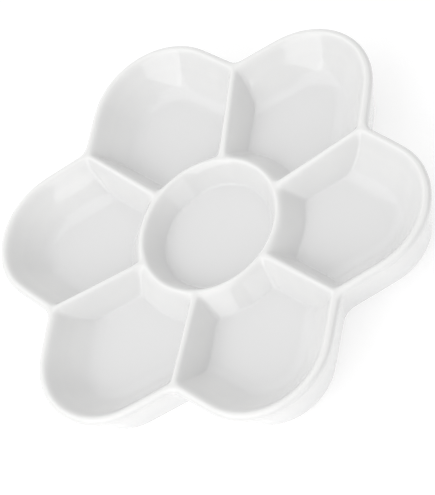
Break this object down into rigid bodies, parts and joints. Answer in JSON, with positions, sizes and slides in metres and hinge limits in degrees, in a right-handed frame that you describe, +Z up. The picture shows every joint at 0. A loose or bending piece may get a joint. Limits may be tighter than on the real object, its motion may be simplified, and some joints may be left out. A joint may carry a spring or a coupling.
{
  "type": "mixing palette",
  "caption": "Flower-shaped porcelain mixing palette: petal wells round a round centre well, thin rounded rims, tapered outer wall and a low foot.",
  "frame": {"origin": "middle of the flower, on the surface that the foot stands on", "axes": "+Z up out of the wells; +X through the middle of one petal; +Y through the divider between two petals"},
  "size_m": [0.15, 0.1366, 0.019],
  "materials": {
    "glazed_porcelain": "clear gloss glaze over white porcelain"
  },
  "bodies": {
    "root": {"palette_body": "glazed_porcelain"}
  },
  "joints": []
}
